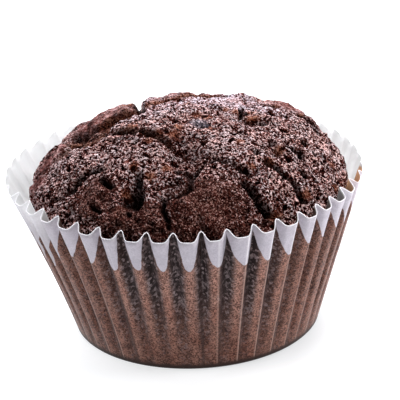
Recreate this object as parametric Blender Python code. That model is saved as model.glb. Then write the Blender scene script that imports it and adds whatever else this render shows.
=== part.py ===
"""A chocolate cupcake in a pleated paper case, in metres with +Z up.

The origin is the centre of the case's underside, +X is the right and -Y the front.
The cake is one solid with a cracked dome; the case is one thin pleated cup round it.
"""

import math
import random

import bmesh
import bpy
from mathutils import Vector, noise

MM = 0.001

# Paper case
PLEATS = 44
BASE_RADIUS = 25.5 * MM
BASE_EDGE = 0.7 * MM  # how far the wall's foot is rounded, in and up
SLANT = 34.8 * MM
RIM_SCALLOP = 0.45 * MM  # a ridge's slant is this much shorter, a valley's this much longer
WALL_LEAN = math.radians(16.4)  # from the vertical, midway between ridge and valley
PLEAT_LEAN = math.radians(1.7)  # a ridge leans out this much more, a valley this much less
WALL_BELL = 0.06  # the wall leans out less at its foot and more at its rim
VALLEY_WIDTH = 0.17  # of one pleat: valleys are narrow and ridges broad
FIRST_VALLEY = math.radians(-46.7)
FOLD_PLACE_ERROR = 0.06  # of one pleat, either way
FOLD_DEPTH_ERROR = 0.12  # of a pleat's depth, either way
COLUMNS_PER_PLEAT = 5
COLUMNS = PLEATS * COLUMNS_PER_PLEAT
PAPER = 0.3 * MM

# How the case has spread in use: pushed to the front left, and bulging at the left side.
RIM_SHIFT = 0.9 * MM
RIM_SHIFT_ANGLE = math.radians(-50)
RIM_OVAL = 0.3 * MM  # longer from front to back
SPREAD = 1.4 * MM
SPREAD_ANGLE = math.radians(-98)
SPREAD_WIDTH = math.radians(32)

# Cake
GAP = 0.45 * MM  # between cake and paper
FULL_FLUTES = 0.6  # share of the slant up to which the cake fills the pleats
SIDE_FLUTES = 0.8  # how far it fills them there
FOOT_FLUTES = 0.15  # and at the dome's foot
DOME_FOOT = 29.0 * MM
DOME_RADIUS = 32.2 * MM
DOME_RISE = 15.7 * MM
FOOT_SHARE = DOME_FOOT / (SLANT * math.cos(WALL_LEAN))
DOME_CELLS = COLUMNS // 4  # along each side of the square grid that is mapped to the dome

# Cracks: width, depth and route. Routes give x and y in millimetres as seen from above.
CRACKS = {
    "right, near the mound": (1.5, 2.6, [(10.4, -22.4), (11.2, -25.6), (13.4, -27.3), (14.6, -28.1)]),
    "right, outer": (1.3, 2.3, [(15.3, -18.8), (18.0, -20.0), (19.8, -20.9), (21.8, -22.4)]),
    "front": (1.0, 2.0, [(-6.3, -26.6), (-5.8, -28.6), (-5.1, -30.4), (-4.2, -31.4)]),
    "under the left slab": (1.9, 2.0, [(-23.8, -4.6), (-21.0, -5.2), (-18.0, -5.0)]),
    "notch left of the crown": (1.7, 2.2, [(-9.6, -0.6), (-9.8, 7.0), (-11.5, 15.0)]),
    "notch right of the crown": (1.4, 1.8, [(7.6, 6.0), (9.0, -1.0), (10.6, -4.4), (15.0, -5.8)]),
    "back, long": (1.4, 2.2, [(-14.0, 21.5), (-5.0, 18.5), (4.0, 20.0), (11.0, 17.0)]),
    "back, branch": (1.2, 1.9, [(4.0, 20.0), (6.0, 24.0), (5.5, 28.0)]),
    "right side": (1.2, 1.8, [(20.0, 2.0), (24.5, 4.5), (28.5, 3.5)]),
}

# Ledges: height, reach and route. The crust on the left of the route stands higher.
LEDGES = {
    "left slab": (1.35, 7.0, [(-30.6, -5.6), (-24.5, -3.6), (-18.5, -4.4), (-14.5, -2.2), (-10.5, 0.6)]),
    "crown": (0.7, 6.0, [(-8.4, 2.0), (-7.0, 6.6), (-1.0, 8.6), (5.0, 8.0)]),
    "right of the crown": (0.55, 6.0, [(10.0, 7.5), (16.0, 8.6), (22.0, 4.5), (26.0, -0.5)]),
    "middle plate": (1.1, 4.5, [(-15.6, -7.0), (-11.2, -8.8), (-7.0, -11.8), (-2.6, -12.2)]),
    "above the mound": (1.2, 4.5, [(-4.6, -26.0), (-1.8, -24.0), (2.2, -21.0), (7.0, -19.4), (11.4, -20.6)]),
    "left plate": (0.7, 4.0, [(-29.6, -12.0), (-21.6, -17.2), (-15.4, -19.6)]),
    "back plate": (0.9, 5.0, [(20.0, 14.0), (10.5, 16.4), (3.5, 19.2), (-6.0, 18.0)]),
}

# Hollows: x, y, half width, half length and depth in millimetres.
HOLLOWS = {
    "deep cavity": (-11.6, -25.2, 2.0, 3.9, 4.2),
    "hole under it": (-12.2, -28.6, 0.9, 0.9, 1.8),
    "sunken middle": (0.4, -16.4, 4.6, 6.4, 1.7),
    "left pit": (-22.6, -17.4, 1.2, 1.4, 1.6),
    "left front pit": (-18.1, -24.8, 1.0, 1.2, 1.3),
    "inner left pit": (-15.4, -22.3, 1.1, 1.0, 1.3),
    "right pit": (22.3, -10.4, 1.1, 1.1, 1.2),
    "right front pit": (21.9, -17.4, 1.1, 1.3, 1.4),
    "right rear pit": (26.6, -9.8, 1.0, 1.2, 1.2),
    "back pit": (-18.0, 14.0, 1.6, 1.4, 1.8),
}

# Size and height in millimetres of the unevenness, from the dome's swells to the crumb.
LUMPS = ((11.0, 0.8), (4.2, 0.7), (2.2, 0.5), (1.3, 0.3))
FINE_NEAR_CRACK = 1.2 * MM  # the grid is split in two within this distance of a crack
FINE_NEAR_LEDGE = 0.7 * MM  # and within this distance of a ledge
CRACK_SLOPE = 0.6  # of a crack's width: how far its walls spread from its middle
LEDGE_FACE = 0.6 * MM  # a ledge rises to its height over this distance
LEDGE_SAG = 0.5  # of a ledge's height: how far the crust in front of it sinks
SAG_REACH = 1.4 * MM
HOLLOW_STEEPNESS = 1.5
FOOT_FADE = 1.6 * MM  # the relief dies away over this height above the dome's foot
SHARP_ANGLE = math.radians(50)


def clear_scene():
    for thing in list(bpy.data.objects):
        bpy.data.objects.remove(thing, do_unlink=True)


def material(name, colour, roughness):
    made = bpy.data.materials.new(name)
    made.use_nodes = True
    shader = made.node_tree.nodes["Principled BSDF"]
    shader.inputs["Base Color"].default_value = (*colour, 1.0)
    shader.inputs["Roughness"].default_value = roughness
    shader.inputs["Metallic"].default_value = 0.0
    return made


def add_object(name, mesh_builder, surface):
    mesh_builder.normal_update()
    mesh = bpy.data.meshes.new(name)
    mesh_builder.to_mesh(mesh)
    mesh_builder.free()
    mesh.shade_smooth()
    mesh.set_sharp_from_angle(angle=SHARP_ANGLE)
    mesh.materials.append(surface)
    made = bpy.data.objects.new(name, mesh)
    bpy.context.scene.collection.objects.link(made)
    return made


# ---------------------------------------------------------------- pleated wall


def uneven_folds():
    """A small error for each fold: its place round the case and its depth."""
    draw = random.Random(7)

    def error(most):
        return draw.uniform(-most, most)

    return [(error(FOLD_PLACE_ERROR), error(FOLD_DEPTH_ERROR)) for _ in range(PLEATS)]


FOLDS = uneven_folds()


def fold_errors(turn):
    """The errors at a place counted in pleats, eased from one fold to the next."""
    lower = math.floor(turn)
    share = turn - lower
    ease = share * share * (3 - 2 * share)
    here, after = FOLDS[lower % PLEATS], FOLDS[(lower + 1) % PLEATS]
    return [a + (b - a) * ease for a, b in zip(here, after)]


def turn_angle(turn):
    """Angle round the case from the front towards +X, at a place counted in pleats."""
    return FIRST_VALLEY + (turn + fold_errors(turn)[0]) * math.tau / PLEATS


def pleat_wave(turn):
    """-1 in a valley fold, +1 on a ridge."""
    from_valley = abs((turn + 0.5) % 1.0 - 0.5)
    return 1 - 2 * math.exp(-((from_valley / VALLEY_WIDTH) ** 2))


def round_axis(radius, angle, height):
    """A point by its distance from the axis, its angle from the front and its height."""
    return Vector((radius * math.sin(angle), -radius * math.cos(angle), height))


def rim_spread(angle, bulge):
    """How much further out the rim stands than on an unused case."""
    off = math.remainder(angle - SPREAD_ANGLE, math.tau) / SPREAD_WIDTH
    pushed = RIM_SHIFT * math.cos(angle - RIM_SHIFT_ANGLE) + RIM_OVAL * math.cos(2 * angle)
    return pushed + bulge * SPREAD * math.exp(-off * off)


def wall_point(turn, share, inset=0.0, flutes=1.0, bulge=1.0):
    """A point on the wall's outer face, at a share of the slant, moved in towards the axis."""
    wave = -1 + flutes * (pleat_wave(turn) + 1)
    lean = WALL_LEAN + PLEAT_LEAN * (1 + fold_errors(turn)[1]) * wave
    angle = turn_angle(turn)
    slant = SLANT - RIM_SCALLOP * wave
    bell = share - WALL_BELL * share * (1 - share)
    radius = BASE_RADIUS + slant * math.sin(lean) * bell + rim_spread(angle, bulge) * share**2
    height = BASE_EDGE + (slant * math.cos(lean) - BASE_EDGE) * share
    return round_axis(radius - inset, angle, height)


def open_edges(builder):
    return [edge for edge in builder.edges if edge.is_boundary]


def raise_ring(geometry, turn_of, place):
    """Moves a ring just extruded to its own place, and returns its turns."""
    ring = {}
    for vert in (part for part in geometry if isinstance(part, bmesh.types.BMVert)):
        others = [edge.other_vert(vert) for edge in vert.link_edges]
        ring[vert] = next(turn_of[other] for other in others if other in turn_of)
        vert.co = place(ring[vert])
    return ring


def paper_case():
    builder = bmesh.new()
    bmesh.ops.create_circle(builder, cap_ends=True, radius=BASE_RADIUS, segments=COLUMNS)
    foot = sorted(builder.verts, key=lambda v: math.atan2(v.co.y, v.co.x))
    turn_of = {vert: index / COLUMNS_PER_PLEAT for index, vert in enumerate(foot)}
    for vert, turn in turn_of.items():
        vert.co = round_axis(BASE_RADIUS - BASE_EDGE, turn_angle(turn), 0.0)
    for share in (0.0, 0.5, 1.0):
        made = bmesh.ops.extrude_edge_only(builder, edges=open_edges(builder))["geom"]
        turn_of = raise_ring(made, turn_of, lambda turn: wall_point(turn, share))
    bmesh.ops.recalc_face_normals(builder, faces=builder.faces)
    case = add_object("paper_case", builder, material("case_paper", (0.30, 0.20, 0.15), 0.6))
    wall = case.modifiers.new("paper thickness", "SOLIDIFY")
    wall.thickness = PAPER
    wall.offset = -1
    return case


# ---------------------------------------------------------------- cracked dome


def on_dome(x, y):
    """The point of the smooth dome over x and y."""
    inside = max(0.0, 1 - (x * x + y * y) / DOME_RADIUS**2)
    return Vector((x, y, DOME_FOOT + DOME_RISE * math.sqrt(inside)))


def dome_normal(point):
    return Vector(
        (
            point.x / DOME_RADIUS**2,
            point.y / DOME_RADIUS**2,
            (point.z - DOME_FOOT) / DOME_RISE**2,
        )
    ).normalized()


def route_on_dome(route):
    return [on_dome(x * MM, y * MM) for x, y in route]


CRACK_ROUTES = [(width * MM, depth * MM, route_on_dome(r)) for width, depth, r in CRACKS.values()]
LEDGE_ROUTES = [(height * MM, reach * MM, route_on_dome(r)) for height, reach, r in LEDGES.values()]


def nearest_on_route(point, route):
    """Distance to a route, and which side of it the point is on: +1 is its left."""
    best, side = math.inf, 1.0
    for start, end in zip(route, route[1:]):
        along = end - start
        share = min(1.0, max(0.0, (point - start).dot(along) / along.length_squared))
        distance = (point - start - along * share).length
        if distance < best:
            best = distance
            side = math.copysign(1.0, along.x * (point.y - start.y) - along.y * (point.x - start.x))
    return best, side


def crack_depth(point):
    total = 0.0
    for width, depth, route in CRACK_ROUTES:
        distance = nearest_on_route(point, route)[0]
        total = max(total, depth * math.exp(-((distance / (CRACK_SLOPE * width)) ** 2)))
    return total


def ledge_height(point):
    total = 0.0
    for height, reach, route in LEDGE_ROUTES:
        distance, side = nearest_on_route(point, route)
        if side > 0:
            total += height * math.exp(-distance / reach) * min(1.0, distance / LEDGE_FACE)
        else:
            total -= LEDGE_SAG * height * math.exp(-distance / SAG_REACH)
    return total


def hollow_depth(point):
    total = 0.0
    for x, y, half_width, half_length, depth in HOLLOWS.values():
        off = point - on_dome(x * MM, y * MM)
        across = off.x / (half_width * MM)
        along = math.hypot(off.y, off.z) / (half_length * MM)
        total = max(total, depth * MM * math.exp(-((across**2 + along**2) ** HOLLOW_STEEPNESS)))
    return total


def lump_height(point):
    total = 0.0
    for size, height in LUMPS:
        total += height * MM * noise.noise(point / (size * MM))
    return total


def relief(point):
    """How far the crust stands off the smooth dome; it dies away at the dome's foot."""
    raised = ledge_height(point) + lump_height(point) - crack_depth(point) - hollow_depth(point)
    above_foot = (point.z - DOME_FOOT) / FOOT_FADE
    return raised * min(1.0, max(0.0, above_foot))


def grid_to_disc(x, y):
    """Share of the radius and the angle for a point of a square grid from -1 to 1."""
    if abs(x) >= abs(y):
        angle = math.pi / 4 * (y / x) if x else 0.0
        return abs(x), angle + (math.pi if x < 0 else 0.0)
    angle = math.pi / 2 - math.pi / 4 * (x / y)
    return abs(y), angle + (math.pi if y < 0 else 0.0)


def grid_turn(x, y):
    """The radius share, and the place round the case in pleats, of a grid point."""
    share, angle = grid_to_disc(x, y)
    return share, (angle + math.pi / 4) * PLEATS / math.tau


def cake_side(turn, share, flutes):
    return wall_point(turn, share, inset=PAPER + GAP, flutes=flutes, bulge=0.0)


def dome_place(x, y):
    """The point of the smooth dome for a point of the grid; its foot meets the cake's side."""
    share, turn = grid_turn(x, y)
    tilt = share * math.pi / 2
    foot = cake_side(turn, FOOT_SHARE, FOOT_FLUTES).to_2d().length
    radius = DOME_RADIUS + (foot - DOME_RADIUS) * share**4
    return round_axis(radius * math.sin(tilt), turn_angle(turn), DOME_FOOT + DOME_RISE * math.cos(tilt))


def is_near(point, routes, limit):
    return any(nearest_on_route(point, route)[0] < limit for _, _, route in routes)


def refine_near_breaks(builder):
    edges = []
    for edge in builder.edges:
        middle = (edge.verts[0].co + edge.verts[1].co) / 2
        point = dome_place(middle.x, middle.y)
        near_crack = is_near(point, CRACK_ROUTES, FINE_NEAR_CRACK)
        if near_crack or is_near(point, LEDGE_ROUTES, FINE_NEAR_LEDGE):
            edges.append(edge)
    bmesh.ops.subdivide_edges(builder, edges=edges, cuts=1, use_grid_fill=True)


def cake():
    builder = bmesh.new()
    bmesh.ops.create_grid(builder, x_segments=DOME_CELLS, y_segments=DOME_CELLS, size=1.0)
    refine_near_breaks(builder)
    turn_of = {}
    for vert in builder.verts:
        turn_of[vert] = grid_turn(vert.co.x, vert.co.y)[1]
        smooth = dome_place(vert.co.x, vert.co.y)
        vert.co = smooth + dome_normal(smooth) * relief(smooth)
    floor = PAPER + GAP
    bottom_radius = BASE_RADIUS - PAPER - GAP
    rings = (
        lambda turn: cake_side(turn, FULL_FLUTES, SIDE_FLUTES),
        lambda turn: round_axis(bottom_radius, turn_angle(turn), floor + BASE_EDGE),
        lambda turn: round_axis(bottom_radius - BASE_EDGE, turn_angle(turn), floor),
    )
    for place in rings:
        made = bmesh.ops.extrude_edge_only(builder, edges=open_edges(builder))["geom"]
        turn_of = raise_ring(made, turn_of, place)
    bmesh.ops.edgeloop_fill(builder, edges=open_edges(builder))
    bmesh.ops.triangulate(builder, faces=builder.faces)
    bmesh.ops.recalc_face_normals(builder, faces=builder.faces)
    return add_object("cake", builder, material("cake_crumb", (0.085, 0.042, 0.030), 0.55))


clear_scene()
paper_case()
cake()
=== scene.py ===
"""Looks for the chocolate cupcake: its crumb, its pleated paper case, a floor, light and camera."""

import math
import random

import bmesh
import bpy
import numpy as np
from mathutils import Matrix, Vector, noise


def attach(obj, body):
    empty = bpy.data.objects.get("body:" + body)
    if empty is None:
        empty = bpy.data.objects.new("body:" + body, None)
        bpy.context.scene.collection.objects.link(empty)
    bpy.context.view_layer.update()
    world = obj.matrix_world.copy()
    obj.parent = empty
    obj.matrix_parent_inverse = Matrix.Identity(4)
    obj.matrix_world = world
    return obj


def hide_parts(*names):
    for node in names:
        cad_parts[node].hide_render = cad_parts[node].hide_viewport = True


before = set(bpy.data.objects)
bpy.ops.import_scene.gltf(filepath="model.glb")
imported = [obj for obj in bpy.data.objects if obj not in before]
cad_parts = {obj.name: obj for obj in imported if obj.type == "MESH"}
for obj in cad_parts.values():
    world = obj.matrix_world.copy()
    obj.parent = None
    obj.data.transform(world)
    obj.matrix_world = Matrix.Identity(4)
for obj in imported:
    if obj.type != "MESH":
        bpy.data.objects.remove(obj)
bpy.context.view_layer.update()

MM = 0.001

# Paper case, as the solid has it
PLEATS = 44
BASE_RADIUS = 25.5 * MM
BASE_EDGE = 0.7 * MM  # how far the wall's foot is rounded, in and up
SLANT = 34.8 * MM
RIM_SCALLOP = 0.45 * MM  # a ridge's slant is this much shorter, a valley's this much longer
WALL_LEAN = math.radians(16.4)  # from the vertical, midway between ridge and valley
PLEAT_LEAN = math.radians(1.7)  # a ridge leans out this much more, a valley this much less
WALL_BELL = 0.06  # the wall leans out less at its foot and more at its rim
VALLEY_WIDTH = 0.17  # of one pleat: valleys are narrow and ridges broad
FIRST_VALLEY = math.radians(-46.7)
FOLD_PLACE_ERROR = 0.06  # of one pleat, either way
FOLD_DEPTH_ERROR = 0.12  # of a pleat's depth, either way

# How the case has spread in use: pushed to the front left, and bulging at the left side
RIM_SHIFT = 0.9 * MM
RIM_SHIFT_ANGLE = math.radians(-50)
RIM_OVAL = 0.3 * MM  # longer from front to back
SPREAD = 1.4 * MM
SPREAD_ANGLE = math.radians(-98)
SPREAD_WIDTH = math.radians(32)

# Paper, as it looks
PAPER = 0.16 * MM
INSIDE_SOLID = 0.02 * MM  # the outer face stays this far inside the solid's
COLUMNS_PER_PLEAT = 16
WALL_ROWS = 30
FOOT_ROWS = 3
CRUMPLE = ((5.0, 0.10), (1.9, 0.05))  # size and height in millimetres of the paper's dents
CRUMPLE_PLACE = Vector((40, 0, 0))  # where in the noise the dents are read
BARE_LENGTH = 8.0  # millimetres of clean white paper below the rim, on a ridge
BARE_LONGER = 1.6  # more than that at the side where the case has spread
BARE_LONGER_ANGLE = math.radians(-98)
BARE_LONGER_WIDTH = math.radians(45)
BARE_ERROR = 0.8  # millimetres, either way
# The cake fills the case up to its rim between these
TOUCHING_FROM, TOUCHING_TO = math.radians(-58), math.radians(88)
TOUCHING_FADE = math.radians(10)
GREASE_ANGLE = math.radians(74)  # where grease has soaked the inside up to the rim
GREASE_WIDTH = math.radians(17)
OPENED = 0.65  # of a fold's depth: how far the folds have opened at a rim that stands free
OPEN_FROM, OPEN_TO = math.radians(-68), math.radians(66)  # on round the back from the one to the other
OPEN_FADE = math.radians(12)
CREASE_WIDTH = 0.08  # of half a pleat: the painted highlight along the crease where a fold's paper is sharply bent
PATCH_FRONT = math.radians(-12)  # the clean patches slant to both sides of here
PATCH_ASIDE = 0.24  # of a pleat: how far a patch's tip moves at the sides
PATCH_WIDER = 0.8  # and how much wider it gets over the flank that faces the front
# Sine of the way round from the front: where patches start to slant, and how much further they slant fully
SLANT_FROM, SLANT_FADE = 0.2, 0.2
SIDE_ON_FROM, SIDE_ON_FADE = 0.38, 0.25  # the same for folds that show their flanks

# Cake, as the solid has it
FULL_FLUTES = 0.6  # share of the slant up to which the cake fills the pleats
SIDE_FLUTES = 0.8  # how far it fills them there
FOOT_FLUTES = 0.15  # and at the dome's foot
DOME_FOOT = 29.0 * MM
DOME_RADIUS = 32.2 * MM
DOME_RISE = 15.7 * MM
FOOT_SHARE = DOME_FOOT / (SLANT * math.cos(WALL_LEAN))
SOLID_INSET = 0.75 * MM  # from the wall's outer face
LEDGE_FACE = 0.6  # millimetres over which a ledge rises to its height
LEDGE_SAG = 0.5  # of a ledge's height: how far the crust in front of it sinks
SAG_REACH = 1.4  # millimetres
HOLLOW_STEEPNESS = 1.5
FOOT_FADE = 1.6 * MM  # the relief dies away over this height above the dome's foot
LUMPS = ((11.0, 0.8), (4.2, 0.7), (2.2, 0.5), (1.3, 0.3))  # size and height in millimetres

# Cake, as it looks
DOME_CELLS = 288
SIDE_INSET = 0.42 * MM  # the same for this cake's side
SIDE_SHARES = (0.82, 0.78, 0.74, 0.68, 0.6, 0.4, 0.2)
SIDE_BOTTOM = 0.03  # share of the wall's slant where the cake's side ends
RAGGED = ((2.6, 0.32), (0.9, 0.22))  # size and shift in millimetres of the breaks' wander
WANDER_SEED = 21  # keeps the wander of breaks and pores the same each time
LIP = 0.9  # millimetres: how far a ledge's lip reaches back from its edge
OVERHANG = 0.55  # of a ledge's height: how far its lip reaches out over the lower crust
# Spacing, widest radius as a share of it and depth of the open pores
PORES = ((0.85, 0.42, 0.30), (2.1, 0.34, 0.70), (3.1, 0.26, 1.00))
PORE_LEAST = 0.35  # of the widest radius
PORE_WANDER = (1.1, 0.35)  # size and shift in millimetres
PORE_DARK = 0.5  # millimetres: a pore this deep is painted quite dark, as painted shade
SHADE_BEHIND = 0.6  # of a crack's slope behind it: how far its painted shade reaches up that slope
SHADE_MOST = 2.4  # millimetres
DARK_CRACK = 1.3  # millimetres: a crack this deep is painted quite dark, as painted shade
DARK_HOLLOW = 1.6  # so is a hollow this many times as deep as it is half wide
WIDE_CRACK = 1.5  # millimetres: a crack wider than this behind shows a torn face
LEDGE_TORN = 0.8  # millimetres of torn crumb to both sides of a ledge's edge
FACE_SHADE = 0.55  # painted shade on a wide crack's torn face
PIT_SHADE = 1.15  # size of the painted shade inside a pit, as a share of the pit
PIT_SHADE_SHIFT = np.array((0, 0.3, 0)) * MM
CRUMB_DOWN = 0.25  # millimetres, so that the ridges stay about where the smooth crust is
TOOTH = ((0.62, 0.16), (1.5, 0.24))  # size and height of the crumb's ridges between the pores
FLATTER = {"fine": 0.55, "broken": 0.45, "crust": 0.6}  # share of the crumb's relief that is missing there
SIDE_RELIEF = 0.6  # share of it that is left below the dome's foot

# Cracks and clefts: half width in front, half width behind, depth and route, in millimetres as seen from
# above. A crack's behind is on the left of its route.
CRACKS = {
    "cleft under the left slab": (
        0.7, 6.5, 2.6,
        [(-25.0, 2.6), (-23.6, 0.5), (-22.3, -2.1), (-19.1, -4.4), (-17.7, -1.5), (-15.5, 0.4), (-13.5, 3.7),
         (-10.2, 5.7)],
    ),
    "left rim": (0.6, 1.9, 1.6, [(-32.0, -0.6), (-30.8, -2.2), (-29.2, -3.4), (-26.8, -2.8), (-23.9, -1.4)]),
    "notch left of the crown": (0.95, 0.95, 2.7, [(-9.6, 5.6), (-9.8, 12.0), (-10.3, 19.0), (-10.8, 26.0)]),
    "groove under the slab": (0.45, 0.8, 0.9, [(-22.0, 6.6), (-18.7, 6.8), (-16.0, 8.5), (-13.4, 10.0)]),
    "middle": (
        0.65, 0.9, 1.2,
        [(-15.2, -2.8), (-12.6, -4.7), (-9.6, -6.3), (-7.4, -8.2), (-5.0, -10.2), (-3.9, -11.8)],
    ),
    "behind the mound": (
        0.55, 1.3, 1.4,
        [(-5.1, -26.5), (-2.2, -26.1), (0.0, -25.2), (0.4, -22.6), (2.5, -18.7), (5.4, -17.9), (8.1, -19.2),
         (10.8, -21.0)],
    ),
    "right, near the mound": (0.6, 0.65, 3.0, [(10.1, -23.2), (11.4, -23.9), (12.7, -26.3), (14.5, -27.3)]),
    "right, upper": (0.6, 0.8, 2.3, [(14.7, -17.4), (16.6, -17.7), (18.0, -19.0)]),
    "right, outer": (0.75, 0.7, 3.2, [(18.4, -19.2), (19.7, -19.6), (20.8, -20.8), (21.8, -21.6)]),
    "front": (0.55, 0.55, 2.6, [(-5.5, -26.9), (-5.7, -28.1), (-4.9, -30.4), (-4.3, -31.3)]),
    "slot right of the crown": (0.5, 0.5, 2.2, [(11.0, 4.5), (10.8, 1.4), (10.6, -1.4)]),
    "under the brown chip": (0.5, 1.0, 2.0, [(11.8, -3.5), (13.8, -3.6), (15.8, -2.4)]),
    "right edge of the crust": (
        0.5, 0.8, 1.4,
        [(14.0, 9.0), (17.0, 10.0), (19.8, 7.6), (22.4, 5.6), (24.8, 4.6)],
    ),
    "right slit": (0.45, 0.45, 1.1, [(25.3, 3.8), (26.6, 2.4)]),
    "left plate": (0.5, 1.0, 1.3, [(-24.5, -16.0), (-22.0, -15.6), (-20.4, -14.8), (-17.9, -16.0)]),
    "left lower plate": (0.45, 0.9, 1.0, [(-28.6, -13.4), (-26.1, -16.0), (-23.2, -16.9)]),
    "left slot": (0.7, 0.8, 2.3, [(-23.7, -15.9), (-22.0, -15.0)]),
    "slot left of the cavity": (0.6, 0.65, 2.2, [(-17.2, -18.5), (-15.4, -20.9)]),
    "left front slot": (0.5, 0.5, 1.7, [(-19.2, -23.0), (-17.8, -24.4)]),
    "right slot": (0.5, 0.5, 1.5, [(19.3, -10.2), (21.4, -11.0)]),
    "right short slot": (0.5, 0.5, 1.7, [(21.7, -15.9), (22.5, -16.7)]),
    "back, long": (0.8, 0.9, 2.0, [(11.0, 15.0), (4.0, 19.0), (-5.0, 19.6), (-14.0, 21.5)]),
    "back, branch": (0.7, 0.7, 1.7, [(4.0, 20.0), (6.0, 24.0), (5.5, 28.0)]),
    "right side": (0.6, 0.7, 1.5, [(22.0, 6.5), (25.5, 5.5), (29.0, 3.0)]),
}

# Ledges: height, reach and route. The crust on the left of the route stands higher.
LEDGES = {
    "crown": (0.7, 5.0, [(-8.6, 13.0), (-6.1, 15.2), (-3.0, 15.8), (0.3, 16.4), (3.6, 15.6), (6.4, 14.2)]),
    "left slab": (1.1, 5.0, [(-26.6, 5.0), (-23.0, 4.6), (-19.5, 6.0), (-16.0, 8.6), (-11.2, 10.6)]),
    "middle plate": (0.6, 3.5, [(-15.2, -2.8), (-11.0, -5.2), (-7.4, -8.2), (-3.9, -11.8)]),
    "back plate": (0.9, 5.0, [(20.0, 14.0), (10.5, 16.4), (3.5, 19.2), (-6.0, 18.0)]),
}

# Hollows: x, y, half width, half length and depth in millimetres.
HOLLOWS = {
    "deep cavity": (-11.0, -24.6, 1.75, 3.0, 4.2),
    "its neck": (-10.3, -21.3, 0.9, 1.7, 2.2),
    "its left lobe": (-12.7, -25.0, 0.9, 1.3, 2.0),
    "hole under it": (-12.3, -27.3, 0.75, 0.8, 1.9),
    "sunken middle": (-0.9, -15.0, 3.9, 6.0, 2.3),
    "sunken, upper hole": (-2.3, -19.5, 0.9, 1.2, 1.9),
    "sunken, right hole": (-0.4, -21.0, 0.9, 1.5, 1.9),
    "sunken, lower": (-2.7, -24.2, 2.5, 2.4, 1.4),
    "shade over the front crack": (-5.1, -27.4, 0.8, 0.8, 0.9),
    "round pit, high": (23.0, -6.8, 0.7, 0.9, 1.8),
    "round pit, middle": (24.4, -9.6, 0.65, 0.85, 1.4),
    "round pit, left": (21.9, -11.6, 0.6, 0.75, 1.4),
    "round pit, right": (27.1, -7.4, 0.8, 1.1, 1.5),
    "dark pit": (16.5, -10.2, 0.85, 1.1, 1.15),
    "wide pit": (17.1, -13.0, 1.1, 1.4, 0.9),
    "small pit": (13.0, -14.8, 0.65, 0.85, 0.85),
    "cool dent": (2.3, -5.2, 1.5, 1.0, 0.7),
    "under the slab": (-22.1, 6.9, 1.5, 2.2, 2.4),
    "under the slab, left": (-23.9, 9.0, 1.3, 2.2, 2.0),
    "under the slab, right": (-20.1, 6.2, 1.3, 1.3, 1.8),
    "back pit": (-18.0, 24.0, 1.6, 1.4, 1.8),
}

# Bulges, and dips where the height is below zero: x, y, half width, half length and height in millimetres.
BULGES = {
    "left slab": (-15.5, 13.5, 5.5, 7.0, -0.3),
    "crown": (-3.0, 16.0, 7.0, 6.0, -0.45),
    "right of the crown": (8.0, 17.0, 5.0, 6.0, -0.5),
    "behind the slot": (12.4, 14.5, 2.2, 4.0, 0.8),
    "right shoulder": (24.5, 9.0, 4.5, 7.0, 1.0),
    "crown's left bump": (-3.0, 15.5, 2.6, 4.0, -0.75),
    "crown's right bump": (4.1, 15.0, 2.2, 4.0, -0.65),
    "between the bumps": (1.1, 16.2, 1.4, 4.0, 0.4),
    "slab's right end": (-12.9, 14.5, 1.6, 4.0, 0.5),
    "left edge": (-29.5, 1.0, 3.0, 4.0, -0.45),
    "mound": (3.4, -26.0, 7.5, 5.0, 0.5),
}

# Where the crumb is finer and calmer: x, y, half width and half length in millimetres. Along the front its
# darker tone is partly painted shade.
FINE = {
    "mound": (3.0, -27.6, 8.5, 6.6),
    "front": (0.0, -31.5, 19.0, 4.5),
    "front left": (-11.5, -28.0, 9.5, 4.0),
    "under the left plate": (-18.8, -21.5, 5.0, 5.0),
}

# Where the skin is a smooth dark crust without open crumb: x, y, half width and half length in millimetres.
CRUST = {
    "left slab": (-18.5, 12.0, 8.0, 7.0),
    "crown": (-3.0, 21.5, 8.5, 5.5),
    "right of the crown": (9.5, 21.0, 7.0, 6.0),
    "right edge": (22.5, 13.0, 7.0, 5.5),
    "left rim": (-29.5, 1.5, 3.5, 4.0),
    "left rim, upper": (-26.4, 2.6, 2.2, 2.4),
    "left rim, lower": (-31.0, -4.2, 2.0, 4.0),
}

# Where a painted bluish sheen stands for a moist spot's shine: x, y, half width and half length in
# millimetres.
MOIST_SHEEN_SPOTS = {
    "dent": (2.1, -3.7, 2.2, 1.7),
}

# Where the broken crumb inside shows its red brown: x, y and radius in millimetres.
CHIPS = (
    (3.9, -1.5, 1.2), (2.0, -0.4, 1.5), (-11.0, -3.8, 1.1), (9.9, 1.6, 1.2), (12.9, -1.4, 1.4),
    (-1.9, -6.4, 1.2), (-3.0, -8.8, 1.5), (-0.6, -3.5, 1.0), (4.2, -5.8, 1.0), (-8.1, -10.6, 1.3),
    (-5.6, -8.3, 1.1), (-4.1, -10.8, 1.0), (12.1, -18.8, 0.9), (15.7, -27.0, 1.4), (17.8, -12.1, 1.1),
    (-10.9, -17.9, 1.1), (28.7, -13.1, 0.9), (-13.8, -26.4, 1.3), (18.6, -26.2, 0.9), (-13.3, -28.4, 1.2),
    (28.0, -8.6, 1.2), (22.5, -20.2, 1.3), (15.5, -16.7, 1.0), (-4.8, -19.0, 1.1), (-12.8, -23.2, 1.1),
    (-7.9, -20.6, 1.2), (10.2, -10.8, 0.9), (22.6, 7.2, 0.9), (18.1, 10.5, 0.9), (7.6, 3.2, 1.1),
    (12.6, 1.6, 1.3), (-0.2, 5.0, 0.9), (-12.0, 14.0, 2.0), (-20.0, 20.0, 1.6), (14.0, 22.0, 1.4),
    (-2.0, 24.0, 1.5),
)

# Floor, and the soft shade on it in millimetres
FLOOR_COLOUR = (0.38, 0.39, 0.40, 1.0)
FLOOR_GLOW, SHADE_GLOW = (0.98, 0.99, 1.0), (0.60, 0.615, 0.62)
SHADE_CENTRE = (10.0, -7.0, 0.0)
SHADE_FROM, SHADE_TO = 12.0, 25.0


# ---------------------------------------------------------------- camera

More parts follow.
